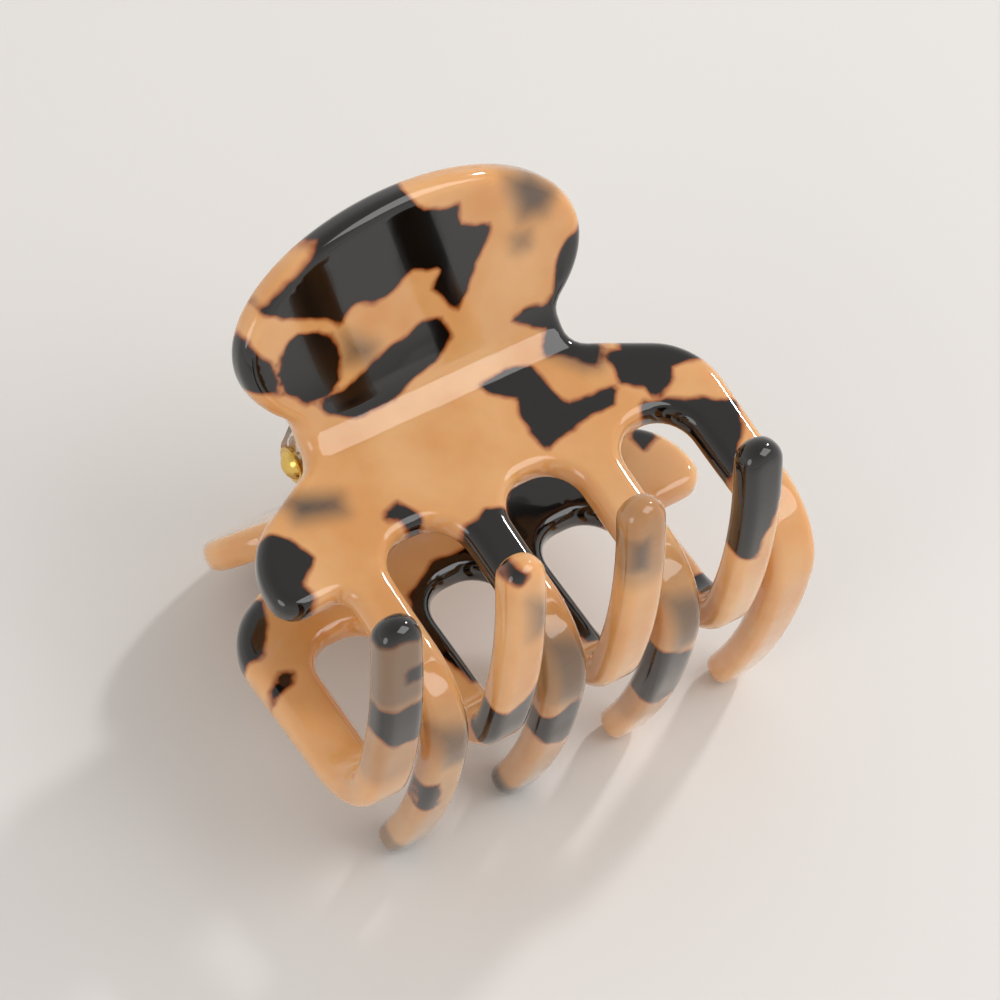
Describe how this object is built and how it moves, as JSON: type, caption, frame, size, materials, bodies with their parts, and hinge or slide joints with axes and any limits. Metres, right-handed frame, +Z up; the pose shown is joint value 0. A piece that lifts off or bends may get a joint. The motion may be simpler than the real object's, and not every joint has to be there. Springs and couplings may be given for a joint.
{
  "type": "claw clip",
  "caption": "Sprung hair claw clip of tortoiseshell acetate with oval finger wings and interlocking curved teeth, lying closed on its side.",
  "frame": {"origin": "on the table under the middle of the clip's bounding box", "axes": "+X along the hinge pin, +Y towards the finger wings, +Z up from the table"},
  "size_m": [0.0598, 0.0536, 0.0625],
  "materials": {
    "tortoiseshell_acetate": "tumbled and polished, honey with black and brown blotches",
    "clear_plastic": "clear moulded, glossy",
    "gold_plated_pin": "polished gold plate",
    "gold_plated_spring": "bright drawn wire, gold plate"
  },
  "bodies": {
    "rear": {"rear_jaw": "tortoiseshell_acetate", "rear_outer_knuckle": "clear_plastic", "rear_inner_knuckle": "clear_plastic", "hinge_pin": "gold_plated_pin", "pin_cap": "gold_plated_pin", "left_washer": "gold_plated_pin", "right_washer": "gold_plated_pin", "torsion_spring": "gold_plated_spring"},
    "front": {"front_jaw": "tortoiseshell_acetate", "front_outer_knuckle": "clear_plastic", "front_inner_knuckle": "clear_plastic"}
  },
  "joints": [
    {"name": "jaw_hinge", "type": "hinge", "parent": "rear", "child": "front", "pos_m": [0, 0.01335, 0.0306], "axis": [-1, 0, 0], "range_deg": [0, 120], "stiffness_Nm_per_rad": 0.08, "springref_deg": -51.57, "deforming": ["torsion_spring"]}
  ]
}
